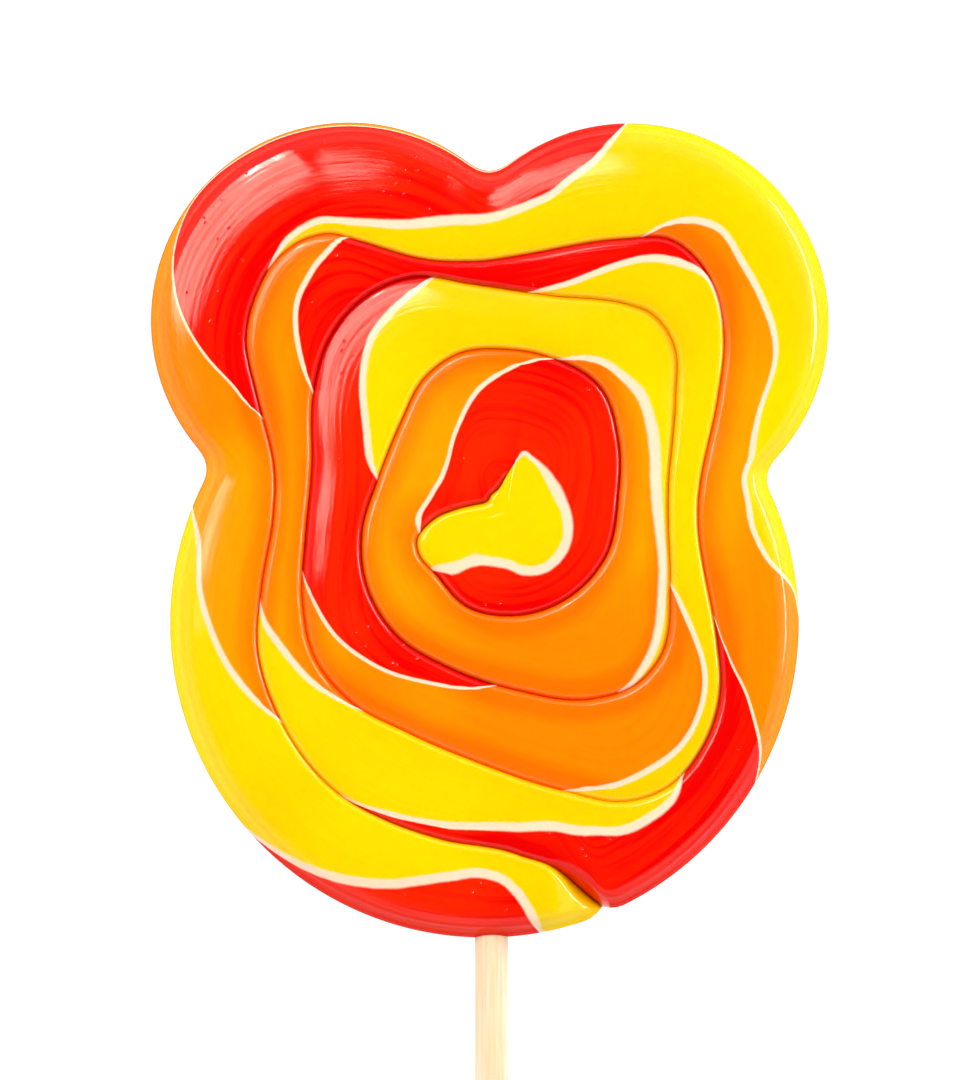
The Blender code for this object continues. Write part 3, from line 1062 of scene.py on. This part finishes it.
class LOLLIPOP_OT_stick(bpy.types.Operator):
    """Turn the wooden stick"""

    bl_idname = "lollipop.stick"
    bl_label = "Add Stick"

    def execute(self, context):
        sizes = context.scene.lollipop_stick
        radius = 0.5 * (STICK_HIGH.x - STICK_LOW.x)
        length = STICK_HIGH.y - STICK_LOW.y
        middle = 0.5 * (STICK_LOW + STICK_HIGH)
        mesh = bmesh.new()
        bmesh.ops.create_cone(
            mesh, cap_ends=True, segments=sizes.sides, radius1=radius, radius2=radius,
            depth=length,
        )
        rims = []
        for edge in mesh.edges:
            if abs(edge.verts[0].co.z - edge.verts[1].co.z) < LEVEL_EDGE:
                rims.append(edge)
        bmesh.ops.bevel(
            mesh, geom=rims, offset=sizes.round_end * MM, segments=4, profile=0.5,
            affect="EDGES", material=-1,
        )
        for k in range(1, sizes.rings):
            height = length * (k / sizes.rings - 0.5)
            bmesh.ops.bisect_plane(
                mesh, geom=mesh.verts[:] + mesh.edges[:] + mesh.faces[:],
                plane_co=(0.0, 0.0, height), plane_no=(0.0, 0.0, 1.0),
            )
        for vert in mesh.verts:
            x, y, z = vert.co
            swell = 1.0 - SWELL * (1.0 + math.sin(z / SHORT_SWELL) * math.cos(z / LONG_SWELL))
            vert.co = Vector((x * swell, z, -y * swell)) + middle
        bmesh.ops.recalc_face_normals(mesh, faces=mesh.faces)
        piece = new_piece("stick_rod", mesh, stick_material(sizes))
        piece.data.shade_smooth()
        piece.data.set_sharp_from_angle(angle=math.radians(STICK_CREASE))
        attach(piece, "root")
        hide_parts("stick")
        return {"FINISHED"}


def add_light(name, power, colour, size, place_at):
    """A rectangular lamp, aimed at the candy."""
    data = bpy.data.lights.new(name, "AREA")
    data.color = colour
    data.shape = "RECTANGLE"
    data.size, data.size_y = size
    data.energy = power
    lamp = bpy.data.objects.new(name, data)
    lamp.location = place_at
    lamp.rotation_euler = (-Vector(place_at)).to_track_quat("-Z", "Y").to_euler()
    bpy.context.scene.collection.objects.link(lamp)


class LOLLIPOP_OT_stage(bpy.types.Operator):
    """Set the pale floor, the soft lights and the camera"""

    bl_idname = "lollipop.stage"
    bl_label = "Add Stage"

    def execute(self, context):
        sizes = context.scene.lollipop_stage
        mesh = bmesh.new()
        bmesh.ops.create_grid(mesh, x_segments=1, y_segments=1, size=0.5 * sizes.floor_size)
        bmesh.ops.translate(mesh, verts=mesh.verts, vec=(0.0, 0.0, CAD_LOW.z))
        floor = new_piece("floor", mesh, floor_material(sizes.floor_colour, sizes.floor_glow))

        add_light("key", sizes.key_power, sizes.key_colour, KEY_SIZE, KEY_PLACE)
        add_light("glint", sizes.glint_power, sizes.key_colour, GLINT_SIZE, GLINT_PLACE)
        add_light("rim", sizes.rim_power, PLAIN_LIGHT, RIM_SIZE, RIM_PLACE)
        world = bpy.data.worlds.new("studio")
        world.use_nodes = True
        tree = world.node_tree
        backdrop = tree.nodes["Background"]
        backdrop.inputs["Color"].default_value = (1.0, 1.0, 1.0, 1.0)
        way = tree.nodes.new("ShaderNodeTexCoord")
        parts = tree.nodes.new("ShaderNodeSeparateXYZ")
        dome = tree.nodes.new("ShaderNodeFloatCurve")
        points = dome.mapping.curves[0].points
        points[0].location = (0.0, sizes.sky_edge)
        points[1].location = (1.0, sizes.sky_top)
        points.new(SKY_RISES, sizes.sky_edge)
        points.new(SKY_BRIGHT_FROM, sizes.sky)
        points.new(SKY_BRIGHT_TO, sizes.sky)
        points.new(SKY_DARK_FROM, sizes.sky_top)
        dome.mapping.update()
        tree.links.new(way.outputs["Generated"], parts.inputs[0])
        tree.links.new(parts.outputs["Z"], dome.inputs["Value"])
        tree.links.new(dome.outputs["Value"], backdrop.inputs["Strength"])
        context.scene.world = world

        data = bpy.data.cameras.new("camera")
        data.sensor_fit = "VERTICAL"
        data.sensor_height = SENSOR_HEIGHT
        data.lens = sizes.lens
        camera = bpy.data.objects.new("camera", data)
        away = sizes.view_height * sizes.lens / data.sensor_height
        camera.location = (sizes.view_x, sizes.view_y, CAD_HIGH.z + away)
        context.scene.collection.objects.link(camera)
        context.scene.camera = camera
        context.scene.view_settings.view_transform = "Standard"
        return {"FINISHED"}


class LOLLIPOP_PT_panel(bpy.types.Panel):
    """Sizes, colours and steps of the lollipop"""

    bl_idname = "LOLLIPOP_PT_panel"
    bl_label = "Bear Lollipop"
    bl_space_type = "VIEW_3D"
    bl_region_type = "UI"
    bl_category = "Lollipop"

    def draw(self, context):
        for group, label, action in (
            ("lollipop_candy", "Candy", "lollipop.candy"),
            ("lollipop_stick", "Stick", "lollipop.stick"),
            ("lollipop_stage", "Stage", "lollipop.stage"),
        ):
            box = self.layout.box()
            box.label(text=label)
            values = getattr(context.scene, group)
            for name in values.__annotations__:
                box.prop(values, name)
            box.operator(action)


CLASSES = (
    CandyProperties,
    StickProperties,
    StageProperties,
    LOLLIPOP_OT_candy,
    LOLLIPOP_OT_stick,
    LOLLIPOP_OT_stage,
    LOLLIPOP_PT_panel,
)


def register():
    for item in CLASSES:
        bpy.utils.register_class(item)
    bpy.types.Scene.lollipop_candy = PointerProperty(type=CandyProperties)
    bpy.types.Scene.lollipop_stick = PointerProperty(type=StickProperties)
    bpy.types.Scene.lollipop_stage = PointerProperty(type=StageProperties)


def unregister():
    del bpy.types.Scene.lollipop_stage
    del bpy.types.Scene.lollipop_stick
    del bpy.types.Scene.lollipop_candy
    for item in reversed(CLASSES):
        bpy.utils.unregister_class(item)


def main():
    register()
    bpy.ops.lollipop.stage()
    bpy.ops.lollipop.candy()
    bpy.ops.lollipop.stick()


if __name__ == "__main__":
    main()
